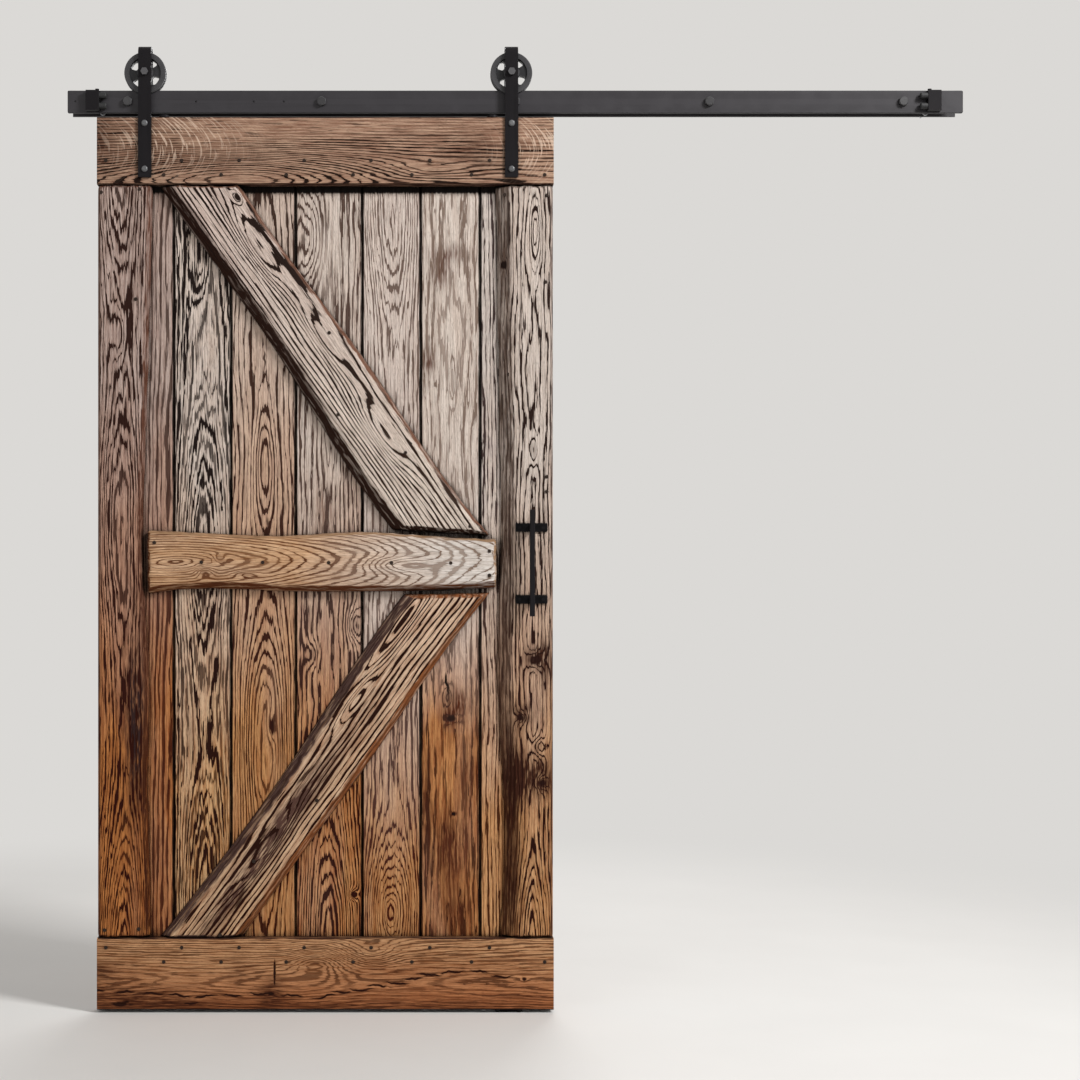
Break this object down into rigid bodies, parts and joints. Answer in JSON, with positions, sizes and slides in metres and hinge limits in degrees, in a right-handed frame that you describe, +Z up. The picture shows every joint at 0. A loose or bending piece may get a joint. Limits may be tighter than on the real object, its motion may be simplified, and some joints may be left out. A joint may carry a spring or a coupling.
{
  "type": "sliding barn door with rail",
  "caption": "Plank barn door with live-edged frame boards and diagonal braces, hung by strap hangers and grooved wheels from a flat wall rail with end stops.",
  "frame": {"origin": "on the wall plane, at the rail's centre line and the middle of its length", "axes": "+X along the rail to the right, +Y into the wall, +Z up"},
  "size_m": [2, 0.146, 2.1773],
  "materials": {
    "oak_boards": "waxed",
    "oak_planks": "waxed",
    "black_steel": "satin powder coat",
    "zinc_steel": "zinc plated",
    "bearing_steel": "ground",
    "blued_nails": "dark, slightly rusted",
    "rubber": "matte"
  },
  "bodies": {
    "track": {"rail": "black_steel", "wall_strip": "black_steel", "strip_screws": "zinc_steel", "rail_spacers": "black_steel", "coach_screws": "black_steel", "floor_guide": "black_steel", "floor_guide_screws": "black_steel", "left_stop_block": "black_steel", "left_stop_buffers": "rubber", "left_stop_lock_screw": "black_steel", "left_stop_bolts": "black_steel", "right_stop_block": "black_steel", "right_stop_buffers": "rubber", "right_stop_lock_screw": "black_steel", "right_stop_bolts": "black_steel"},
    "door": {"anti_jump_discs": "black_steel", "bottom_board": "oak_boards", "bottom_board_nails": "blued_nails", "disc_screws": "zinc_steel", "handle_bar": "black_steel", "handle_lower_bracket": "black_steel", "handle_screws": "black_steel", "handle_upper_bracket": "black_steel", "hanger_bolts": "black_steel", "hanger_nuts": "zinc_steel", "hanger_washers": "zinc_steel", "left_axle_bolt": "black_steel", "left_axle_nut": "zinc_steel", "left_axle_sleeves": "bearing_steel", "left_bearing_inner": "bearing_steel", "left_hanger": "black_steel", "left_stile": "oak_boards", "left_stile_nails": "blued_nails", "lower_brace": "oak_boards", "lower_brace_nails": "blued_nails", "mid_rail": "oak_boards", "mid_rail_nails": "blued_nails", "plank_1": "oak_planks", "plank_2": "oak_planks", "plank_3": "oak_planks", "plank_4": "oak_planks", "plank_5": "oak_planks", "plank_6": "oak_planks", "plank_7": "oak_planks", "right_axle_bolt": "black_steel", "right_axle_nut": "zinc_steel", "right_axle_sleeves": "bearing_steel", "right_bearing_inner": "bearing_steel", "right_hanger": "black_steel", "right_stile": "oak_boards", "right_stile_nails": "blued_nails", "top_board": "oak_boards", "top_board_nails": "blued_nails", "upper_brace": "oak_boards", "upper_brace_nails": "blued_nails"},
    "left_roller": {"left_wheel": "black_steel", "left_bearing_outer": "bearing_steel"},
    "right_roller": {"right_wheel": "black_steel", "right_bearing_outer": "bearing_steel"}
  },
  "joints": [
    {"name": "door_slide", "type": "slide", "parent": "track", "child": "door", "axis": [1, 0, 0], "range_m": [-0.0707, 0.8962]},
    {"name": "left_wheel_spin", "type": "hinge", "parent": "door", "child": "left_roller", "pos_m": [-0.826, -0.0425, 0.0628], "axis": [0, 1, 0], "range_deg": [-110, 1372]},
    {"name": "right_wheel_spin", "type": "hinge", "parent": "door", "child": "right_roller", "pos_m": [-0.009, -0.0425, 0.0628], "axis": [0, 1, 0], "range_deg": [-110, 1372]}
  ],
  "couplings": [
    {"joint": "left_wheel_spin", "follows": "door_slide", "rad_per_m": 26.667},
    {"joint": "right_wheel_spin", "follows": "door_slide", "rad_per_m": 26.667}
  ]
}
